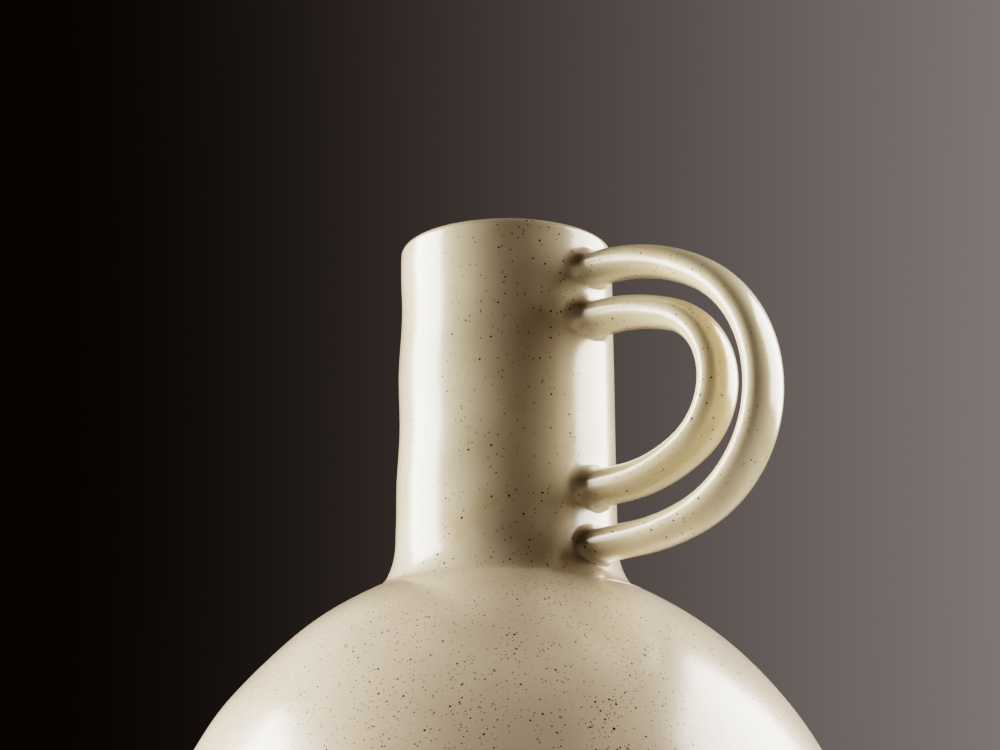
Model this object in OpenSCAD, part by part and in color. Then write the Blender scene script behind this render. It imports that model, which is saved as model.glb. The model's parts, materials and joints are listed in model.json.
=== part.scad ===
// Stoneware pottery vase: a round thrown body on a turned foot ring, a tall straight
// neck luted onto the shoulder, and two concentric strap handles on one side of it.
// Every piece of clay that the potter makes or adds is a separate solid.
// Origin: centre of the foot ring's resting face. +Z is up and the handles are on +X.

/* [Body] */
// Height from the resting face to the top of the lip
total_h = 444.5; // [442:0.5:450]
// Widest diameter of the round body
body_d = 297; // [290:1:305]
// Height of the widest level above the resting face
widest_z = 137; // [134:1:140]
// Vertical half axis of the body above its widest level
shoulder_rise = 173; // [170:1:175]
// Thickness of the thrown body wall
body_wall = 7; // [5:0.5:9]
// Thickness of the body's floor
floor_t = 9; // [7:0.5:12]

/* [Foot ring] */
// Outer diameter of the foot ring
foot_d = 150; // [140:1:156]
// Width of the foot ring's resting band
foot_w = 12; // [9:0.5:16]
// Height of the foot ring
foot_h = 8; // [6:0.5:10]
// Rounding of the foot ring's lower edges
foot_round = 2; // [1:0.25:3]

/* [Neck] */
// Outer diameter of the neck at the lip
neck_d = 90; // [88:0.5:92]
// Outer diameter of the neck where it stands on the body
neck_foot_d = 91.4; // [91:0.2:93]
// Diameter of the straight bore through the neck
bore_d = 77; // [74:0.5:79]
// Diameter of the opening cut in the body under the neck
throat_d = 80; // [79:0.5:82]
// Rounding of the lip's outer edge
lip_outer_round = 3; // [2:0.2:3.4]
// Rounding of the lip's inner edge
lip_inner_round = 2; // [1.4:0.2:2.6]

/* [Neck joint] */
// Height of the slip fillet on the neck
flare_h = 17; // [14:0.5:19]
// Reach of the slip fillet over the body, past the neck
flare_reach = 5.6; // [4:0.2:7]
// Hollowness of the slip fillet's curve
flare_power = 2.3; // [1.8:0.1:2.8]

/* [Strap section] */
// Thickness of both straps
strap_t = 12.8; // [12:0.2:13.4]
// Width of both straps
strap_w = 21.2; // [19:0.2:23]
// Radius of the straps' rounded edges
strap_edge_r = 4.8; // [4.6:0.1:5.2]
// Leg of the slip fillet round each strap root
root_leg = 3; // [2:0.2:3.4]
// Straight stretch of each strap at its upper root
root_run = 4; // [3.6:0.2:5]
// Thickness of the feathered edge of a root fillet
root_land = 0.4; // [0.3:0.1:0.6]

/* [Outer handle] */
// Drop from the lip to the middle of the upper root
outer_drop = 18.1; // [17.5:0.1:18.7]
// Slope of the strap as it leaves the neck, below the level
outer_slope = -2.7; // [-4:0.1:-1]
// Radius of the first, easy bend
outer_r1 = 88; // [85:0.5:91]
// Sweep of the first, easy bend
outer_a1 = 33.6; // [32:0.2:35]
// Radius of the upper main bend
outer_r2 = 56; // [54.5:0.5:57.5]
// Sweep of the upper main bend
outer_a2 = 64.4; // [63:0.2:66]
// Radius of the lower main bend
outer_r3 = 50.5; // [49:0.5:52]
// Sweep of the lower main bend
outer_a3 = 64.2; // [63:0.2:66]
// Radius of the last, easy bend
outer_r4 = 90; // [86:1:94]
// Sweep of the last, easy bend
outer_a4 = 17.4; // [16:0.2:19]

/* [Inner handle] */
// Drop from the lip to the middle of the upper root
inner_drop = 39.6; // [39:0.1:40.2]
// Slope of the strap as it leaves the neck, below the level
inner_slope = -3.2; // [-4.4:0.1:-2]
// Radius of the first, easy bend
inner_r1 = 90; // [87:0.5:93]
// Sweep of the first, easy bend
inner_a1 = 23.4; // [22:0.2:25]
// Radius of the main bend
inner_r2 = 30.5; // [29.5:0.5:31.5]
// Sweep of the main bend
inner_a2 = 127.1; // [125:0.2:129]
// Radius of the last, easy bend
inner_r3 = 64; // [62:0.5:66]
// Sweep of the last, easy bend
inner_a3 = 30.1; // [28:0.2:32]

/* [Hidden] */
$fn = 96;
glaze = [0.87, 0.82, 0.72];
bare_clay = [0.68, 0.58, 0.47];
arc_steps = 6;
body_steps = 22;
flare_steps = 12;
body_r = body_d / 2;
neck_r = neck_d / 2;
neck_foot_r = neck_foot_d / 2;
bore_r = bore_d / 2;
throat_r = throat_d / 2;
foot_r = foot_d / 2;
floor_z = foot_h + floor_t;
// Vertical half axis below the widest level, so that the wall lands on the foot ring's edge
belly_drop = (widest_z - foot_h) / sqrt(1 - pow(foot_r / body_r, 2));
// The neck's foot stands where the shoulder is as wide as the neck
seat_z = ellipse_z(neck_foot_r, body_r, shoulder_rise);
flare_r = neck_foot_r + flare_reach;
flare_z = ellipse_z(flare_r, body_r, shoulder_rise);
// How far each strap is carried into the neck before it is trimmed to the wall
root_depth = 6;
// How far a cut is carried past the clay that it cuts
cut = 1;
half_t = strap_t / 2;
edge_c = strap_w / 2 - strap_edge_r;
flat_r = (edge_c * edge_c + half_t * half_t - strap_edge_r * strap_edge_r)
    / (2 * (half_t - strap_edge_r));
flat_c = flat_r - half_t;
flat_a = atan2(edge_c, flat_c);
outer_bends = [
    [outer_r1, outer_a1], [outer_r2, outer_a2], [outer_r3, outer_a3], [outer_r4, outer_a4]
];
inner_bends = [[inner_r1, inner_a1], [inner_r2, inner_a2], [inner_r3, inner_a3]];
outer_top = [neck_r, total_h - outer_drop];
inner_top = [neck_r, total_h - inner_drop];

// Height of an ellipse centred on the axis at the widest level
function ellipse_z(r, a, b) = widest_z + b * sqrt(1 - pow(r / a, 2));
// Points of a circle's arc
function arc(c, r, a0, a1) =
    [for (i = [0:arc_steps]) let (a = a0 + (a1 - a0) * i / arc_steps)
        [c[0] + r * cos(a), c[1] + r * sin(a)]];
// Points of an ellipse's arc centred on the axis at the widest level
function body_arc(a, b, a0, a1) =
    [for (i = [0:body_steps]) let (t = a0 + (a1 - a0) * i / body_steps)
        [a * cos(t), widest_z + b * sin(t)]];
// Heading after a list of bends, in degrees below +X
function turned(bends, slope, i = 0) =
    i == len(bends) ? slope : turned(bends, slope + bends[i][1], i + 1);
// Distance covered in X and dropped in Z by a list of bends
function bends_x(bends, h, i = 0) =
    i == len(bends) ? 0
    : bends[i][0] * (sin(h + bends[i][1]) - sin(h)) + bends_x(bends, h + bends[i][1], i + 1);
function bends_z(bends, h, i = 0) =
    i == len(bends) ? 0
    : bends[i][0] * (cos(h) - cos(h + bends[i][1])) + bends_z(bends, h + bends[i][1], i + 1);
// Length of the last straight stretch, from the bends back to the neck's wall
function return_run(top, slope, bends) =
    (top[0] + root_run * cos(slope) + bends_x(bends, slope) - neck_foot_r)
    / -cos(turned(bends, slope));
// Height of the lower root
function bottom_z(top, slope, bends) =
    top[1] - root_run * sin(slope) - bends_z(bends, slope)
    - return_run(top, slope, bends) * sin(turned(bends, slope));

// Outline of the body's outside, from the neck's seat down to the foot
function body_outline() = concat(
    body_arc(body_r, shoulder_rise, acos(neck_foot_r / body_r), 0),
    body_arc(body_r, belly_drop, 0, -acos(foot_r / body_r))
);

// Outline of the body's inside, from the floor up to the opening
function hollow_outline() =
    let (a = body_r - body_wall, up = shoulder_rise - body_wall, down = belly_drop - body_wall)
    concat(
        body_arc(a, down, -asin((widest_z - floor_z) / down), 0),
        body_arc(a, up, 0, acos(throat_r / a))
    );

// The body as if it were solid clay, used to trim what is luted onto it
module body_block() {
    rotate_extrude()
        polygon(concat([[0, foot_h], [0, seat_z]], body_outline()));
}

// The neck as if it were solid clay, used to trim what is luted onto it
module neck_block() {
    rotate_extrude()
        polygon(concat(
            [[0, seat_z], [neck_foot_r, seat_z]],
            arc([neck_r - lip_outer_round, total_h - lip_outer_round], lip_outer_round, 0, 90),
            [[0, total_h]]
        ));
}

// The fillet between neck and shoulder as if it were solid clay
module flare_block() {
    rotate_extrude()
        polygon(concat(
            [[0, seat_z - flare_h], [flare_r, seat_z - flare_h]],
            [for (i = [0:flare_steps]) let (t = i / flare_steps)
                [neck_foot_r - (neck_foot_r - neck_r) * t * flare_h / (total_h - seat_z)
                    + flare_reach * pow(1 - t, flare_power),
                 flare_z + (seat_z + flare_h - flare_z) * t]],
            [[0, seat_z + flare_h]]
        ));
}

module globe() {
    color(glaze)
        rotate_extrude()
            polygon(concat(
                [[throat_r, seat_z]], body_outline(), [[0, foot_h], [0, floor_z]],
                hollow_outline()
            ));
}

module foot_ring() {
    inner_r = foot_r - foot_w;
    color(bare_clay)
        rotate_extrude()
            polygon(concat(
                [[foot_r, foot_h]],
                arc([foot_r - foot_round, foot_round], foot_round, 0, -90),
                arc([inner_r + foot_round, foot_round], foot_round, 270, 180),
                [[inner_r, foot_h]]
            ));
}

module neck() {
    color(glaze)
        difference() {
            neck_block();
            rotate_extrude()
                polygon(concat(
                    [[0, seat_z - cut], [bore_r, seat_z - cut]],
                    arc([bore_r + lip_inner_round, total_h - lip_inner_round],
                        lip_inner_round, 180, 90),
                    [[bore_r + lip_inner_round, total_h + cut], [0, total_h + cut]]
                ));
        }
}

module neck_slip() {
    color(glaze)
        difference() {
            flare_block();
            neck_block();
            body_block();
        }
}

// Oval of four tangent arcs. X is across the strap's thickness, Y along its width.
module strap_section() {
    for (side = [-1, 1])
        translate([0, side * edge_c])
            circle(r = strap_edge_r);
    intersection() {
        translate([-flat_c, 0])
            circle(r = flat_r);
        translate([flat_c, 0])
            circle(r = flat_r);
        square([strap_t + cut, 2 * flat_r * sin(flat_a)], center = true);
    }
}

// A straight stretch of strap along +X, with what follows placed at its end
module straight(length) {
    rotate([0, 90, 0])
        linear_extrude(height = length)
            strap_section();
    translate([length, 0, 0])
        children();
}

// A bend that turns the strap down, with what follows placed at its end
module bend(r, sweep) {
    translate([0, 0, -r]) {
        rotate([90, 0, 0])
            rotate([0, 0, 90 - sweep])
                rotate_extrude(angle = sweep)
                    translate([r, 0])
                        strap_section();
        rotate([0, sweep, 0])
            translate([0, 0, r])
                children();
    }
}

// The part of a strap at its root, along its own slope and past the neck's wall
module root_stub(x, z, slope) {
    translate([x, 0, z])
        rotate([0, slope, 0])
            translate([-2 * root_depth, 0, 0])
                straight(4 * root_depth);
}

// A whole strap along its middle line, from inside the upper root to inside the lower one
module strap(top, slope, bends) {
    translate([top[0], 0, top[1]])
        rotate([0, slope, 0])
            translate([-root_depth, 0, 0])
                straight(root_depth + root_run)
                    bends_from(bends, 0)
                        straight(return_run(top, slope, bends) + root_depth);
}

// The bends of a strap one after another, with what follows placed at the end of the last
module bends_from(bends, i) {
    if (i == len(bends))
        children();
    else
        bend(bends[i][0], bends[i][1])
            bends_from(bends, i + 1)
                children();
}

module handle_outer() {
    color(glaze)
        difference() {
            strap(outer_top, outer_slope, outer_bends);
            neck_block();
            flare_block();
        }
}

module handle_inner() {
    color(glaze)
        difference() {
            strap(inner_top, inner_slope, inner_bends);
            neck_block();
        }
}

// Hollow fillet in the corner between a strap and the wall, with a deep skirt behind it
module root_fillet_section() {
    size = root_leg + root_land;
    difference() {
        translate([0, -root_depth])
            square([size, size + root_depth]);
        translate([size, size])
            circle(r = root_leg);
    }
}

// Fillet ring round an oval root, built along +Z: four arcs and the clay inside them
module root_collar() {
    size = root_leg + root_land;
    for (side = [0, 180])
        rotate([0, 0, side]) {
            translate([0, edge_c, 0])
                rotate([0, 0, flat_a])
                    rotate_extrude(angle = 180 - 2 * flat_a)
                        translate([strap_edge_r, 0])
                            root_fillet_section();
            translate([-flat_c, 0, 0])
                rotate([0, 0, -flat_a])
                    rotate_extrude(angle = 2 * flat_a)
                        translate([flat_r, 0])
                            root_fillet_section();
        }
    translate([0, 0, -root_depth])
        linear_extrude(height = size + root_depth)
            strap_section();
}

// Slip worked round one root, trimmed to the strap and to the wall it was luted to
module root_slip(x, z, slope) {
    color(glaze)
        difference() {
            translate([x, 0, z])
                rotate([0, 90, 0])
                    root_collar();
            root_stub(x, z, slope);
            neck_block();
            flare_block();
        }
}

module slip_outer_top() {
    root_slip(outer_top[0], outer_top[1], outer_slope);
}

module slip_outer_bottom() {
    root_slip(neck_foot_r, bottom_z(outer_top, outer_slope, outer_bends),
        turned(outer_bends, outer_slope) - 180);
}

module slip_inner_top() {
    root_slip(inner_top[0], inner_top[1], inner_slope);
}

module slip_inner_bottom() {
    root_slip(neck_foot_r, bottom_z(inner_top, inner_slope, inner_bends),
        turned(inner_bends, inner_slope) - 180);
}

globe();
foot_ring();
neck();
neck_slip();
handle_outer();
handle_inner();
slip_outer_top();
slip_outer_bottom();
slip_inner_top();
slip_inner_bottom();
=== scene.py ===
"""Looks for the stoneware vase: thrown body, neck, two strap handles and the slip round their roots.

Lengths are in metres in the row frame: +Z up, the foot on z = 0 and the handles on +X.
"""
import json
import math

import bmesh
import bpy
import numpy as np
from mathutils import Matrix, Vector

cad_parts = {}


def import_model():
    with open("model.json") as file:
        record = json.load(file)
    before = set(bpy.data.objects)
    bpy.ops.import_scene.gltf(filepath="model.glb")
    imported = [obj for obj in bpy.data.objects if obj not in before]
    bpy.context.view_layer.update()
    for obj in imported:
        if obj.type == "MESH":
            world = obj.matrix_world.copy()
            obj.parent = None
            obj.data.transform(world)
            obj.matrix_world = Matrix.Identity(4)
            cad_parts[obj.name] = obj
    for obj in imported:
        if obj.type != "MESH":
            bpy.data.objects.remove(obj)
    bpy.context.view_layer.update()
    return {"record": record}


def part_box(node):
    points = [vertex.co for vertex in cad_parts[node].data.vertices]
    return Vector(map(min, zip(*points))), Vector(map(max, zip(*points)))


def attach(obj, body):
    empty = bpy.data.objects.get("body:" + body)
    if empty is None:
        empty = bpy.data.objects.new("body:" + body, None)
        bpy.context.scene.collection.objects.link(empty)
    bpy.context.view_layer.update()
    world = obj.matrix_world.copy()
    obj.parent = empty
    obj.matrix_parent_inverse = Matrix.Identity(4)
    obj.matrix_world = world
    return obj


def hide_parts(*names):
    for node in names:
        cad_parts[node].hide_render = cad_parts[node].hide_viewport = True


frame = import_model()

MM = 0.001

# ---------------------------------------------------------------- sizes read from the frame
GLOBE_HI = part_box("globe")[1]
NECK_LO, NECK_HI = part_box("neck")
FLARE_LO, FLARE_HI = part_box("neck_slip")
FOOT_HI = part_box("foot_ring")[1]
MOUTH = next(m for m in frame["record"]["mounts"] if m["name"] == "mouth")

LIP_Z = NECK_HI.z
SEAT_Z = NECK_LO.z
BODY_R = GLOBE_HI.x
FOOT_R = FOOT_HI.x
FOOT_H = FOOT_HI.z
NECK_FOOT_R = NECK_HI.x
FLARE_REACH = FLARE_HI.x - NECK_FOOT_R
BORE_R = MOUTH["dims"]["r_mm"] * MM

# ---------------------------------------------------------------- sizes of the clay
NECK_R = 45.0 * MM
WIDEST_Z = 137.0 * MM
SHOULDER_RISE = 173.0 * MM
BELLY_DROP = (WIDEST_Z - FOOT_H) / math.sqrt(1 - (FOOT_R / BODY_R) ** 2)
BODY_WALL = 7.0 * MM
FLOOR_Z = FOOT_H + 9.0 * MM
THROAT_R = 40.0 * MM
FOOT_W = 12.0 * MM
FOOT_ROUND = 2.0 * MM
LIP_OUTER = 3.0 * MM
LIP_INNER = 2.0 * MM
FLARE_POWER = 2.3
FLARE_BLEND = 2.0 * MM
STRAP_HALF_T = 6.4 * MM
STRAP_HALF_W = 10.6 * MM
STRAP_POWER = 2.03
ROOT_DEPTH = 3.0 * MM

# Unevenness of the thrown clay. A side is the angle round the axis that it faces, in degrees.
RING_DEPTH = 0.035 * MM
RING_SPACING = 6.5 * MM
SWAY_DEPTH = 0.05 * MM
WAIST_DEPTH = 0.8 * MM
WAIST_SPACING = 50.0 * MM
WAIST_FULL = 96.0 * MM
WAIST_END = 128.0 * MM
WAIST_SIDE = 215
SHOULDER_SWAY = 0.8 * MM
SWAY_TOP = 298.0 * MM
LEAN_SIDE = 40
RIPPLE_DEPTH = 0.5 * MM
RIPPLE_SPACING = 50.0 * MM
RIPPLE_SIDE = 220

# Slip worked round the straps' roots
SLIP_TIP = 0.7 * MM
SLIP_EDGE = 0.6 * MM
SLIP_FULLNESS = 0.6
SLIP_WALL_REACH = 5.2 * MM
SLIP_STRAP_REACH = 6.0 * MM
ROOT_CEILING = LIP_Z - LIP_OUTER - 0.5 * MM

# Each strap: the drop of its upper root below the lip, its slope there in degrees, its straight
# run, its bends as (radius, sweep in degrees), and how much it swells at its upper and lower root
OUTER = {
    "drop": 18.1 * MM,
    "slope": -2.7,
    "run": 4.0 * MM,
    "bends": ((88 * MM, 33.6), (56 * MM, 64.4), (50.5 * MM, 64.2), (90 * MM, 17.4)),
    "swell": (0.0, 0.3 * MM),
}
INNER = {
    "drop": 39.6 * MM,
    "slope": -3.2,
    "run": 4.0 * MM,
    "bends": ((90 * MM, 23.4), (30.5 * MM, 127.1), (64 * MM, 30.1)),
    "swell": (0.5 * MM, 1.1 * MM),
}
SWELL_LENGTH = 28.0 * MM


# ---------------------------------------------------------------- mesh helpers
def mesh_object(name, points, faces, sharp=40.0):
    mesh = bpy.data.meshes.new(name)
    mesh.from_pydata([tuple(p) for p in points], [], faces)
    solid = bmesh.new()
    solid.from_mesh(mesh)
    bmesh.ops.recalc_face_normals(solid, faces=solid.faces)
    solid.to_mesh(mesh)
    solid.free()
    mesh.shade_smooth()
    mesh.set_sharp_from_angle(angle=math.radians(sharp))
    piece = bpy.data.objects.new(name, mesh)
    bpy.context.scene.collection.objects.link(piece)
    return piece


def loft(name, rings, closed=False):
    """A skin over rings of equal length: capped at both ends, or its last ring joined to its first."""
    rings = np.asarray(rings, float)
    rows, cols = rings.shape[:2]
    points = rings.reshape(-1, 3)
    faces = []
    for i in range(rows if closed else rows - 1):
        near, far = i * cols, (i + 1) % rows * cols
        for j in range(cols):
            k = (j + 1) % cols
            faces.append((near + j, near + k, far + k, far + j))
    if not closed:
        for start in (0, (rows - 1) * cols):
            centre = len(points)
            points = np.vstack([points, points[start:start + cols].mean(0)])
            faces += [(start + j, start + (j + 1) % cols, centre) for j in range(cols)]
    return mesh_object(name, points, faces)


def arc(cx, cz, r, start, end, steps=8):
    a = np.radians(np.linspace(start, end, steps + 1))
    return [(cx + r * math.cos(t), cz + r * math.sin(t)) for t in a]


def around(sides=256):
    return np.linspace(0, 2 * math.pi, sides, endpoint=False)


def turned(r, z, theta):
    """Points at radius r and height z, for every angle theta round the axis."""
    return np.stack([r * np.cos(theta), r * np.sin(theta), z + 0 * theta], -1)


def revolved(outline, theta):
    """Rings of an outline of (radius, z) points turned round the axis."""
    outline = np.asarray(outline, float)
    return turned(outline[:, :1], outline[:, 1:], theta)


# ---------------------------------------------------------------- the thrown surfaces
def smooth(value, low, high):
    """0 at low and 1 at high, easing in and out. low may be the larger of the two."""
    t = np.clip((value - low) / (high - low), 0.0, 1.0)
    return t * t * (3 - 2 * t)


def throwing_marks(theta, z):
    """Faint rings and sway left by the potter's hands. Never above zero: the clay stays in its size."""
    rings = np.sin(z / RING_SPACING + 0.8 * np.sin(theta) + 1.7 * np.sin(z / (37.0 * MM)))
    sway = np.sin(2 * theta + z / (57.0 * MM)) + 0.6 * np.sin(3 * theta - z / (33.0 * MM))
    return RING_DEPTH * (rings - 1.0) + SWAY_DEPTH * (sway - 1.6)


def one_side(theta, towards):
    """1 on the side that faces the angle given, fading to 0 on the opposite side."""
    return 0.5 + 0.5 * np.cos(theta - math.radians(towards))


def neck_wall(theta, z):
    """The neck's own radius: nearly straight, with slow waists on the side that the potter pressed."""
    t = np.clip((z - SEAT_Z) / (LIP_Z - SEAT_Z), 0.0, 1.0)
    down = (LIP_Z - z) / WAIST_SPACING
    depth = WAIST_DEPTH * smooth(z, LIP_Z - WAIST_END, LIP_Z - WAIST_FULL)
    waist = depth * (0.5 - 0.5 * np.cos(2 * math.pi * (down - 0.1))) * one_side(theta, WAIST_SIDE) ** 2
    return NECK_FOOT_R + (NECK_R - NECK_FOOT_R) * t - waist + throwing_marks(theta, z)


def shoulder_sway(theta, z):
    """The shoulder leans out a little on one side and has one slow ripple on the other."""
    swell = smooth(z, 185 * MM, 245 * MM) * smooth(z, SWAY_TOP, 270 * MM)
    ripple = np.cos(2 * math.pi * (z - 269 * MM) / RIPPLE_SPACING) * smooth(z, 225 * MM, 250 * MM)
    ripple = ripple * smooth(z, SWAY_TOP, 286 * MM) * one_side(theta, RIPPLE_SIDE) ** 2
    lean = SHOULDER_SWAY * one_side(theta, LEAN_SIDE) - RIPPLE_DEPTH * ripple
    return lean * swell + throwing_marks(theta, z)


def hand_worked(theta, seed):
    """A slow random-looking swing round a joint, from -1 to 1."""
    return (0.5 * np.sin(2 * theta + seed) + 0.3 * np.sin(5 * theta + 2.3 * seed)
            + 0.2 * np.sin(9 * theta + 4.1 * seed))


def flare_height(theta, r):
    """Height of the slip fillet's surface at radius r: flare_offset the other way round."""
    reach = FLARE_REACH * (1 + 0.07 * hand_worked(theta, 1.9))
    share = np.clip((r - neck_wall(theta, FLARE_LO.z + 6 * MM)) / reach, 0.0, 1.6)
    return FLARE_LO.z + (FLARE_HI.z - FLARE_LO.z) * (1 - share ** (1 / FLARE_POWER))


def body_height(r):
    return WIDEST_Z + SHOULDER_RISE * np.sqrt(1 - (r / BODY_R) ** 2)


def joined_height(theta, r):
    """Height of the neck joint where the slip is smoothed down onto the shoulder."""
    slip, body = flare_height(theta, r), body_height(r)
    blend = FLARE_BLEND * (1 + 0.6 * hand_worked(theta, 0.6))
    near = np.clip(1 - np.abs(slip - body) / blend, 0.0, 1.0)
    return np.maximum(slip, body) + near ** 2 * blend / 4


def flare_offset(theta, z):
    """How far the slip fillet stands out past the neck's own wall at height z."""
    reach = FLARE_REACH * (1 + 0.07 * hand_worked(theta, 1.9))
    t = np.clip((z - FLARE_LO.z) / (FLARE_HI.z - FLARE_LO.z), 0.0, 1.0)
    return reach * (1 - t) ** FLARE_POWER


def wall_point(theta, z):
    """Point of the neck's outside, slip fillet included."""
    return turned(neck_wall(theta, z) + flare_offset(theta, z), z, theta)


def globe():
    a, up, down = BODY_R - BODY_WALL, SHOULDER_RISE - BODY_WALL, BELLY_DROP - BODY_WALL
    low = math.asin((WIDEST_Z - FLOOR_Z) / down)

    def band(rx, rz, start, end, steps):
        return [(rx * math.cos(t), WIDEST_Z + rz * math.sin(t)) for t in np.linspace(start, end, steps)]

    theta = around(288)
    inside = [(a * math.cos(low) * s, FLOOR_Z) for s in (0.04, 0.3, 0.6, 0.85, 0.97)]
    inside += band(a, down, -low, 0, 40)
    inside += band(a, up, 0, math.acos(THROAT_R / a), 60)[1:]
    inside += [(THROAT_R, SEAT_Z), (THROAT_R + 2 * MM, SEAT_Z)]
    outside = band(BODY_R, SHOULDER_RISE, math.acos(NECK_FOOT_R / BODY_R), 0, 110)
    outside += band(BODY_R, BELLY_DROP, 0, -math.acos(FOOT_R / BODY_R), 70)[1:]
    r, z = np.array(outside).T[:, :, None]
    skin = turned(r + shoulder_sway(theta, z), z, theta)
    under = [(FOOT_R * s, FOOT_H) for s in (0.98, 0.85, 0.6, 0.3, 0.04)]
    return loft("vase_body", np.concatenate([revolved(inside, theta), skin, revolved(under, theta)]))


def foot_ring():
    inner = FOOT_R - FOOT_W
    outline = [(FOOT_R, FOOT_H), (FOOT_R - 0.1 * MM, FOOT_H / 2)]
    outline += arc(FOOT_R - FOOT_ROUND, FOOT_ROUND, FOOT_ROUND, 0, -90)
    outline += arc(inner + FOOT_ROUND, FOOT_ROUND, FOOT_ROUND, 270, 180)
    outline += [(inner, FOOT_H)]
    return loft("foot_ring_clay", revolved(outline, around(192)), closed=True)


def neck():
    theta = around()
    top = LIP_Z - LIP_OUTER
    wall = [turned(neck_wall(theta, z), z, theta) for z in np.linspace(SEAT_Z, top, 150)]
    bend = np.radians(np.linspace(0, 90, 11)[1:])
    rim = neck_wall(theta, top) - LIP_OUTER
    lip = [turned(rim + LIP_OUTER * math.cos(t), top + LIP_OUTER * math.sin(t), theta) for t in bend]
    bore = arc(BORE_R + LIP_INNER, LIP_Z - LIP_INNER, LIP_INNER, 90, 180)
    bore += [(BORE_R, z) for z in np.linspace(LIP_Z - LIP_INNER, SEAT_Z, 40)[1:]]
    return loft("vase_neck", np.concatenate([wall, lip, revolved(bore, theta)]), closed=True)


def neck_slip():
    """Slip fillet at the neck's foot: feathered out on the neck, hand-smoothed onto the shoulder."""
    theta = around()
    split = FLARE_LO.z + 0.45 * (FLARE_HI.z - FLARE_LO.z)
    rings = [wall_point(theta, FLARE_HI.z + 0.5 * MM) * (0.994, 0.994, 1)]
    rings += [wall_point(theta, z) for z in np.linspace(FLARE_HI.z, split, 24)]
    start = np.hypot(rings[-1][:, 0], rings[-1][:, 1])
    end = NECK_FOOT_R + FLARE_REACH + 5.5 * MM
    for t in np.linspace(0, 1, 40)[1:]:
        r = start + (end - start) * t
        rings.append(turned(r, joined_height(theta, r), theta))
    under = ((end + 0.3 * MM, 0.5 * MM), (end - 4 * MM, 3 * MM), (NECK_FOOT_R - 2 * MM, 2 * MM))
    for r, drop in under:
        rings.append(turned(r, body_height(r) - drop, theta))
    rings.append(np.array(rings[0]) * (0.97, 0.97, 1))
    return loft("neck_joint_slip", rings, closed=True)


# ---------------------------------------------------------------- straps
class Strap:
    """A strap's middle line, with its oval section. s is the length along it from the upper root."""

    def __init__(self, shape, seed):
        self.seed, self.swell = seed, shape["swell"]
        x, z, heading = NECK_R, LIP_Z - shape["drop"], math.radians(shape["slope"])
        step = 0.5 * MM
        line = []

        def walk(length, radius=None):
            nonlocal x, z, heading
            n = max(2, round(length / step))
            for _ in range(n):
                line.append((x, z, heading))
                if radius:
                    turn = length / n / radius
                    x += radius * (math.sin(heading + turn) - math.sin(heading))
                    z -= radius * (math.cos(heading) - math.cos(heading + turn))
                    heading += turn
                else:
                    x += length / n * math.cos(heading)
                    z -= length / n * math.sin(heading)

        walk(shape["run"])
        for radius, sweep in shape["bends"]:
            walk(radius * math.radians(sweep), radius)
        walk((x - NECK_FOOT_R) / -math.cos(heading))
        line.append((x, z, heading))
        self.line = np.array(line)
        chord = np.hypot(*np.diff(self.line[:, :2], axis=0).T)
        self.s = np.concatenate([[0], np.cumsum(chord)])
        self.length = self.s[-1]

    def point(self, s, psi):
        """Surface point at length s and section angle psi: 0 faces out of the loop, 90 degrees +Y."""
        s, psi = np.broadcast_arrays(np.asarray(s, float), psi)
        inside = np.clip(s, 0, self.length)
        x = np.interp(inside, self.s, self.line[:, 0])
        z = np.interp(inside, self.s, self.line[:, 1])
        heading = np.interp(inside, self.s, self.line[:, 2])
        x = x + (s - inside) * np.cos(heading)
        z = z - (s - inside) * np.sin(heading)
        u = s / self.length
        thick = STRAP_HALF_T * (1 + 0.012 * np.sin(9 * u + self.seed))
        thick = thick + self.swell[0] * np.exp(-(s / SWELL_LENGTH) ** 2)
        thick = thick + self.swell[1] * np.exp(-((self.length - s) / SWELL_LENGTH) ** 2)
        wide = STRAP_HALF_W * (1 + 0.014 * np.sin(7 * u + 2 * self.seed))
        sway = 0.25 * MM * np.sin(5.2 * u + 3 * self.seed) * np.sin(math.pi * np.clip(u, 0, 1))
        p = 2 / STRAP_POWER
        out = thick * np.sign(np.cos(psi)) * np.abs(np.cos(psi)) ** p
        side = wide * np.sign(np.sin(psi)) * np.abs(np.sin(psi)) ** p + sway
        return np.stack([x + out * np.sin(heading), side, z + out * np.cos(heading)], -1)

    def middle(self, s):
        return (self.point(s, 0.0) + self.point(s, math.pi)) / 2


def strap_piece(name, strap, cols=72):
    psi = np.linspace(0, 2 * math.pi, cols, endpoint=False)
    steps = round((strap.length + 2 * ROOT_DEPTH) / (0.9 * MM))
    rings = [strap.point(s, psi) for s in np.linspace(-ROOT_DEPTH, strap.length + ROOT_DEPTH, steps)]
    return loft(name, rings)


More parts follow.
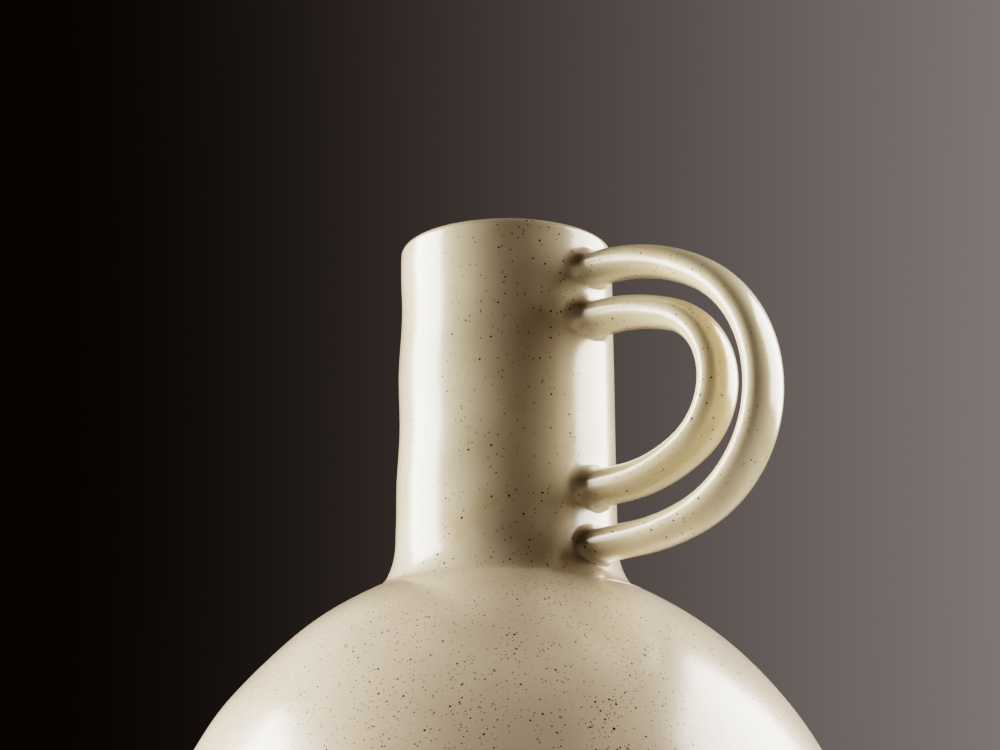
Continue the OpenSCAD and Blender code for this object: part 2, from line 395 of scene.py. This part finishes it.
def root_slip(name, strap, at_top, seed, spread, tuck, cols=144, rows=20):
    """Slip worked into the corner all round a strap's root: tangent to the strap and to the neck.

    spread scales its reach on the neck. tuck is how much of that reach it loses below the strap.
    """
    psi = np.linspace(0, 2 * math.pi, cols, endpoint=False)

    def along(run):
        return run if at_top else strap.length - run

    def on_strap(run):
        return strap.point(along(run), psi)

    near, far = np.full(cols, -6 * MM), np.full(cols, 14 * MM)
    for _ in range(40):
        mid = (near + far) / 2
        p = on_strap(mid)
        theta = np.arctan2(p[:, 1], p[:, 0])
        wall = wall_point(theta, p[:, 2])
        outside = np.hypot(p[:, 0], p[:, 1]) > np.hypot(wall[:, 0], wall[:, 1])
        far, near = np.where(outside, mid, far), np.where(outside, near, mid)
    foot = on_strap(far)
    theta, z = np.arctan2(foot[:, 1], foot[:, 0]), foot[:, 2]
    r = np.hypot(foot[:, 0], foot[:, 1])
    across, up = r * theta, z
    du = np.roll(across, -1) - np.roll(across, 1)
    dv = np.roll(up, -1) - np.roll(up, 1)
    size = np.hypot(du, dv)
    nu, nv = -dv / size, du / size
    flip = np.sign((nu * (across - across.mean()) + nv * (up - up.mean())).mean())
    nu, nv = nu * flip, nv * flip

    swing = hand_worked(psi, seed)
    below = np.clip(-nv, 0, 1)
    on_wall = (SLIP_WALL_REACH + 0.8 * MM * swing) * (1 - tuck * below ** 2) * spread
    on_wall = on_wall + SLIP_TIP * below ** 14
    on_clay = (SLIP_STRAP_REACH + 0.9 * MM * np.roll(swing, 17)) * (1 - 0.55 * below ** 2)

    def out_on_wall(reach):
        height = up + nv * reach
        over = np.maximum(height - ROOT_CEILING, 0)
        return wall_point((across + nu * reach) / r, height - 0.9 * over)

    start, end = on_strap(far + on_clay), out_on_wall(on_wall)
    small = 0.05 * MM
    along_strap = (on_strap(far + on_clay - small) - start) / small
    along_wall = (end - out_on_wall(on_wall - small)) / small
    ctrl_a = start + along_strap * (SLIP_FULLNESS * on_clay)[:, None]
    blunt = (below ** 3)[:, None]
    outward = end * (1, 1, 0) / np.hypot(end[:, 0], end[:, 1])[:, None]
    ctrl_b = end - along_wall * (SLIP_FULLNESS * on_wall)[:, None] * (1 - 0.4 * blunt)
    ctrl_b = ctrl_b + outward * SLIP_EDGE * blunt
    middle = strap.middle(along(0.0))
    loops = [start + (strap.middle(along(far + on_clay)) - start) * 0.04]
    for t in np.linspace(0, 1, rows):
        loops.append((1 - t) ** 3 * start + 3 * (1 - t) ** 2 * t * ctrl_a
                     + 3 * (1 - t) * t ** 2 * ctrl_b + t ** 3 * end)
    sunk = out_on_wall(on_wall + 0.3 * MM)
    loops.append(sunk * (0.993, 0.993, 1))
    loops.append(foot + (middle - foot) * 0.25 - np.array([1.5 * MM, 0, 0]))
    return loft(name, loops, closed=True)


# ---------------------------------------------------------------- materials
class Shader:
    """A node tree with short calls for the few nodes that the materials use."""

    def __init__(self, name):
        self.material = bpy.data.materials.new(name)
        self.material.use_nodes = True
        self.tree = self.material.node_tree
        self.bsdf = self.tree.nodes["Principled BSDF"]
        self.place = self.node("ShaderNodeTexCoord").outputs["Object"]

    def node(self, kind, **settings):
        made = self.tree.nodes.new(kind)
        for key, value in settings.items():
            setattr(made, key, value)
        return made

    def link(self, source, target):
        if isinstance(source, bpy.types.NodeSocket):
            self.tree.links.new(source, target)
        else:
            target.default_value = source

    def math(self, operation, a, b=0.0, clamp=False):
        made = self.node("ShaderNodeMath", operation=operation, use_clamp=clamp)
        self.link(a, made.inputs[0])
        self.link(b, made.inputs[1])
        return made.outputs[0]

    def ramp(self, value, low, high, to_low=0.0, to_high=1.0):
        made = self.node("ShaderNodeMapRange", interpolation_type="SMOOTHSTEP")
        for key, item in zip(("Value", "From Min", "From Max", "To Min", "To Max"),
                             (value, low, high, to_low, to_high)):
            self.link(item, made.inputs[key])
        return made.outputs["Result"]

    def mix(self, factor, a, b):
        made = self.node("ShaderNodeMix", data_type="RGBA")
        self.link(factor, made.inputs["Factor"])
        self.link(a, made.inputs[6])
        self.link(b, made.inputs[7])
        return made.outputs[2]

    def scaled(self, size, shift=0.0):
        made = self.node("ShaderNodeVectorMath", operation="MULTIPLY_ADD")
        self.link(self.place, made.inputs[0])
        made.inputs[1].default_value = (1 / size,) * 3
        made.inputs[2].default_value = (shift,) * 3
        return made.outputs[0]

    def noise(self, size, detail=3.0, shift=0.0):
        made = self.node("ShaderNodeTexNoise")
        self.link(self.scaled(size, shift), made.inputs["Vector"])
        made.inputs["Scale"].default_value = 1.0
        made.inputs["Detail"].default_value = detail
        return made.outputs["Fac"]

    def specks(self, share, cell, radius, shift):
        """Small round specks: one in a share of the cells of a random lattice, of varying size."""
        made = self.node("ShaderNodeTexVoronoi")
        self.link(self.scaled(cell, shift), made.inputs["Vector"])
        made.inputs["Scale"].default_value = 1.0
        chance = self.node("ShaderNodeSeparateColor")
        self.link(made.outputs["Color"], chance.inputs[0])
        size = self.math("MULTIPLY_ADD", chance.outputs[1], radius / cell)
        size.node.inputs[2].default_value = 0.6 * radius / cell
        edge = self.math("DIVIDE", made.outputs["Distance"], size)
        dot = self.ramp(edge, 1.0, 0.75)
        there = self.math("LESS_THAN", chance.outputs[0], share)
        return self.math("MULTIPLY", dot, there)

    def height(self):
        parts = self.node("ShaderNodeSeparateXYZ")
        self.link(self.place, parts.inputs[0])
        return parts.outputs["Z"]

    def reach(self):
        """Distance from the vase's axis."""
        flat = self.node("ShaderNodeVectorMath", operation="MULTIPLY")
        self.link(self.place, flat.inputs[0])
        flat.inputs[1].default_value = (1, 1, 0)
        length = self.node("ShaderNodeVectorMath", operation="LENGTH")
        self.link(flat.outputs[0], length.inputs[0])
        return length.outputs["Value"]

    def set(self, **values):
        for key, value in values.items():
            self.link(value, self.bsdf.inputs[key.replace("_", " ")])

    def bump(self, height, strength, distance):
        made = self.node("ShaderNodeBump")
        made.inputs["Strength"].default_value = strength
        made.inputs["Distance"].default_value = distance
        self.link(height, made.inputs["Height"])
        self.link(made.outputs["Normal"], self.bsdf.inputs["Normal"])


# One glaze in three copies. The neck's copy is darker, which is painted shade. The straps' and body's
# copies are lighter, which is painted light. The body's pinker hue is its own.
SHADED_NECK_CREAM = (0.45, 0.390, 0.298, 1)
SHADED_NECK_PALE = (0.53, 0.462, 0.360, 1)
LIT_STRAP_CREAM = (0.56, 0.485, 0.345, 1)
LIT_STRAP_PALE = (0.64, 0.560, 0.415, 1)
BODY_CREAM_WITH_LIGHT = (0.65, 0.547, 0.432, 1)
BODY_PALE_WITH_LIGHT = (0.73, 0.622, 0.503, 1)
OCHRE = (0.42, 0.34, 0.20, 1)
IRON = (0.025, 0.012, 0.007, 1)
RUST = (0.145, 0.068, 0.045, 1)
BUFF = (0.42, 0.30, 0.19, 1)
DARK_BUFF = (0.27, 0.18, 0.11, 1)
FLOOR_GREY = (0.50, 0.49, 0.475, 1)
FLOOR_PALE = (0.54, 0.53, 0.515, 1)
FLOOR_CLEAR_REACH = 30 * MM


# Where the glaze's colour changes, by painted light and shade (a darker neck, lighter straps and body),
# and where its specks change: out from the axis onto the straps, and down from the neck to the body
STRAP_ZONE_FROM = 47 * MM
STRAP_ZONE_FULL = 60 * MM
BODY_ZONE_FROM = SEAT_Z + 14 * MM
BODY_ZONE_FULL = SEAT_Z - 20 * MM

# Specks: the lattice cell that holds one, its radius, and the lattice's shift
FAINT_SPECKS = {"cell": 1.5 * MM, "radius": 0.28 * MM, "shift": 3.7}
FINE_SPECKS = {"cell": 2.0 * MM, "radius": 0.32 * MM, "shift": 8.1}
BIG_SPECKS = {"cell": 5.0 * MM, "radius": 0.39 * MM, "shift": 1.4}
CLAY_SPECKS = {"cell": 2.6 * MM, "radius": 0.4 * MM, "shift": 6.0}


def glaze():
    """Satin cream glaze: slow drift of tone, ochre in patches, iron specks thicker on the body. Painted
    light and shade: a darker copy of the glaze on the neck, lighter copies on the straps and body.
    """
    m = Shader("speckled_glaze")
    tone = m.ramp(m.noise(46 * MM, 2.0), 0.32, 0.68)
    # Painted light and shade: the straps get a lighter copy of the glaze, and the neck keeps its
    # darker, shaded copy.
    on_strap = m.ramp(m.reach(), STRAP_ZONE_FROM, STRAP_ZONE_FULL)
    colour = m.mix(on_strap, m.mix(tone, SHADED_NECK_CREAM, SHADED_NECK_PALE), m.mix(tone, LIT_STRAP_CREAM, LIT_STRAP_PALE))
    thin = m.ramp(m.noise(21 * MM, 2.0, 5.3), 0.55, 0.80, 0.0, 0.45)
    colour = m.mix(thin, colour, OCHRE)
    # Painted light on the body over its own pinker tone: a lighter copy of the glaze below the neck.
    on_body = m.ramp(m.height(), BODY_ZONE_FROM, BODY_ZONE_FULL)
    colour = m.mix(on_body, colour, m.mix(tone, BODY_CREAM_WITH_LIGHT, BODY_PALE_WITH_LIGHT))

    strap_only = m.math("MULTIPLY", on_strap, m.math("SUBTRACT", 1.0, on_body))
    crowd = m.ramp(m.noise(17 * MM, 1.0, 6.4), 0.35, 0.65, 0.6, 1.5)
    crowd = m.math("MULTIPLY", crowd, m.ramp(strap_only, 0.0, 1.0, 1.0, 0.7))

    def specks(kind, neck_share, body_share):
        """Specks that fill a growing share of their cells from the neck to the body."""
        share = m.ramp(on_body, 0.0, 1.0, neck_share, body_share)
        return m.specks(m.math("MULTIPLY", crowd, share), **kind)

    faint = specks(FAINT_SPECKS, 0.22, 0.66)
    colour = m.mix(m.math("MULTIPLY", faint, 0.75), colour, RUST)
    fine = specks(FINE_SPECKS, 0.26, 0.36)
    colour = m.mix(m.math("MULTIPLY", fine, 0.95), colour, IRON)
    big = m.specks(m.math("MULTIPLY", crowd, 0.2), **BIG_SPECKS)
    colour = m.mix(big, colour, IRON)

    pits = m.math("ADD", fine, big, clamp=True)
    surface = m.math("SUBTRACT", m.noise(2.6 * MM, 2.0, 9.0), m.math("MULTIPLY", pits, 0.6))
    m.bump(surface, 0.08, 0.25 * MM)
    gloss = m.ramp(m.noise(24 * MM, 2.0, 2.2), 0.3, 0.7, 0.28, 0.33)
    m.set(Base_Color=colour, Roughness=gloss, Specular_IOR_Level=0.32,
          Coat_Weight=0.9, Coat_Roughness=0.19)
    return m.material


def bare_clay():
    m = Shader("bare_stoneware")
    grain = m.noise(0.9 * MM, 4.0)
    colour = m.mix(m.ramp(grain, 0.3, 0.7), DARK_BUFF, BUFF)
    colour = m.mix(m.specks(0.4, **CLAY_SPECKS), colour, IRON)
    m.bump(grain, 0.5, 0.3 * MM)
    m.set(Base_Color=colour, Roughness=0.88)
    return m.material


def floor_paint():
    """Pale paint, clear from below and for short rays, so that light reaches the vase's underside."""
    m = Shader("pale_floor")
    m.set(Base_Color=m.mix(m.noise(0.4, 3.0), FLOOR_GREY, FLOOR_PALE), Roughness=0.75)
    seen_from_below = m.node("ShaderNodeNewGeometry").outputs["Backfacing"]
    ray_length = m.node("ShaderNodeLightPath").outputs["Ray Length"]
    under_foot = m.math("LESS_THAN", ray_length, FLOOR_CLEAR_REACH)
    clear = m.node("ShaderNodeBsdfTransparent")
    choose = m.node("ShaderNodeMixShader")
    m.link(m.math("MAXIMUM", seen_from_below, under_foot), choose.inputs[0])
    m.link(m.bsdf.outputs[0], choose.inputs[1])
    m.link(clear.outputs[0], choose.inputs[2])
    m.link(choose.outputs[0], m.tree.nodes["Material Output"].inputs["Surface"])
    return m.material


# ---------------------------------------------------------------- the vase
GLAZE = glaze()
BARE = bare_clay()
outer_strap = Strap(OUTER, 0.4)
inner_strap = Strap(INNER, 1.7)


def root(name, strap, at_top, seed, spread, tuck, node):
    return root_slip(name, strap, at_top, seed, spread, tuck), GLAZE, "glaze", node


PIECES = [
    (globe(), GLAZE, "glaze", "globe"),
    (foot_ring(), BARE, "bare_clay", "foot_ring"),
    (neck(), GLAZE, "glaze", "neck"),
    (neck_slip(), GLAZE, "glaze", "neck_slip"),
    (strap_piece("outer_strap", outer_strap), GLAZE, "glaze", "handle_outer"),
    (strap_piece("inner_strap", inner_strap), GLAZE, "glaze", "handle_inner"),
    root("outer_upper_root", outer_strap, True, 0.9, 1.0, 0.92, "slip_outer_top"),
    root("outer_lower_root", outer_strap, False, 2.6, 0.6, 0.7, "slip_outer_bottom"),
    root("inner_upper_root", inner_strap, True, 4.4, 1.0, 0.88, "slip_inner_top"),
    root("inner_lower_root", inner_strap, False, 5.8, 0.85, 0.7, "slip_inner_bottom"),
]
for piece, material, slot, node in PIECES:
    piece.data.materials.append(material)
    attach(piece, "root")
    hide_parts(node)

# ---------------------------------------------------------------- studio
CAMERA_AZIMUTH = math.radians(40.0)
CAMERA_TILT = math.radians(15.5)
CAMERA_DISTANCE = 0.7503
CAMERA_HEIGHT = LIP_Z - 0.2625
CAMERA_SHIFT = -2.7 * MM
CAMERA_LENS = 66.6
SENSOR_WIDTH = 36.0
FLOOR_SIZE = 12.0


def studio_point(side, depth, height):
    """A point given as the camera sees it: metres to its right, away from it past the axis, and up."""
    right = Vector((math.cos(CAMERA_AZIMUTH), math.sin(CAMERA_AZIMUTH), 0))
    away = Vector((-math.sin(CAMERA_AZIMUTH), math.cos(CAMERA_AZIMUTH), 0))
    return right * side + away * depth + Vector((0, 0, height))


def camera():
    data = bpy.data.cameras.new("camera")
    data.lens = CAMERA_LENS
    data.sensor_width = SENSOR_WIDTH
    made = bpy.data.objects.new("camera", data)
    made.location = studio_point(CAMERA_SHIFT, -CAMERA_DISTANCE, CAMERA_HEIGHT)
    forward = studio_point(0, math.cos(CAMERA_TILT), math.sin(CAMERA_TILT))
    made.rotation_mode = "QUATERNION"
    made.rotation_quaternion = forward.to_track_quat("-Z", "Y")
    bpy.context.scene.collection.objects.link(made)
    bpy.context.scene.camera = made


def softbox(name, azimuth, width, low, high, radiance, colour):
    """An upright panel of light, 1 m from the axis and facing it. Azimuth 0 is the camera's side."""
    data = bpy.data.lights.new(name, "AREA")
    data.shape = "RECTANGLE"
    data.size, data.size_y = width, high - low
    data.energy = radiance * math.pi * width * (high - low)
    data.color = colour
    turn, middle = math.radians(azimuth), (low + high) / 2
    made = bpy.data.objects.new(name, data)
    made.location = studio_point(math.sin(turn), -math.cos(turn), middle)
    made.rotation_mode = "QUATERNION"
    made.rotation_quaternion = (Vector((0, 0, middle)) - made.location).to_track_quat("-Z", "Y")
    made.visible_camera = False
    bpy.context.scene.collection.objects.link(made)


DUSK = (0.0090, 0.0050, 0.0021, 1)
PALE_WALL = (0.179, 0.160, 0.156, 1)
PALE_BELOW = (0.30, 0.29, 0.28, 1)
WALL_DARKEST = -0.23
WALL_PALEST = 0.26
WALL_FALL_OFF = 1.35


def world():
    """A dark studio wall behind the vase, paler towards the right, with pale light from below."""
    made = bpy.data.worlds.new("studio")
    bpy.context.scene.world = made
    made.use_nodes = True
    nodes, links = made.node_tree.nodes, made.node_tree.links
    view = nodes.new("ShaderNodeTexCoord").outputs["Generated"]

    def along(direction):
        dot = nodes.new("ShaderNodeVectorMath")
        dot.operation = "DOT_PRODUCT"
        links.new(view, dot.inputs[0])
        dot.inputs[1].default_value = direction
        return dot.outputs["Value"]

    def ramp(value, low, high, kind="LINEAR"):
        mapped = nodes.new("ShaderNodeMapRange")
        mapped.interpolation_type = kind
        links.new(value, mapped.inputs["Value"])
        mapped.inputs["From Min"].default_value = low
        mapped.inputs["From Max"].default_value = high
        return mapped.outputs["Result"]

    def maths(operation, a, b):
        made = nodes.new("ShaderNodeMath")
        made.operation = operation
        links.new(a, made.inputs[0])
        if isinstance(b, float):
            made.inputs[1].default_value = b
        else:
            links.new(b, made.inputs[1])
        return made.outputs[0]

    right = along(studio_point(1, 0, 0))
    glow = maths("POWER", ramp(right, WALL_DARKEST, WALL_PALEST), WALL_FALL_OFF)
    far_right = ramp(right, 0.60, 0.30, "SMOOTHSTEP")
    in_front = ramp(along(studio_point(0, 1, 0)), 0.2, 0.8, "SMOOTHSTEP")
    glow = maths("MULTIPLY", glow, far_right)
    glow = maths("MULTIPLY", glow, in_front)
    shade = nodes.new("ShaderNodeMix")
    shade.data_type = "RGBA"
    links.new(glow, shade.inputs["Factor"])
    shade.inputs[6].default_value = DUSK
    shade.inputs[7].default_value = PALE_WALL
    under = nodes.new("ShaderNodeMix")
    under.data_type = "RGBA"
    links.new(ramp(along((0, 0, -1)), 0.1, 0.5, "SMOOTHSTEP"), under.inputs["Factor"])
    links.new(shade.outputs[2], under.inputs[6])
    under.inputs[7].default_value = PALE_BELOW
    links.new(under.outputs[2], nodes["Background"].inputs[0])


def floor():
    corners = [(x * FLOOR_SIZE, y * FLOOR_SIZE, 0) for x, y in ((-1, -1), (1, -1), (1, 1), (-1, 1))]
    piece = mesh_object("floor", corners, [(0, 1, 2, 3)])
    piece.data.materials.append(floor_paint())


camera()
world()
floor()
softbox("left_softbox", azimuth=-94, width=0.72, low=0.04, high=1.03, radiance=14.0,
        colour=(1, 0.955, 0.885))
softbox("right_softbox", azimuth=102, width=1.0, low=0.36, high=1.39, radiance=9.2,
        colour=(1, 0.950, 0.875))
bpy.context.scene.view_settings.view_transform = "Filmic"
bpy.context.scene.view_settings.look = "Very High Contrast"
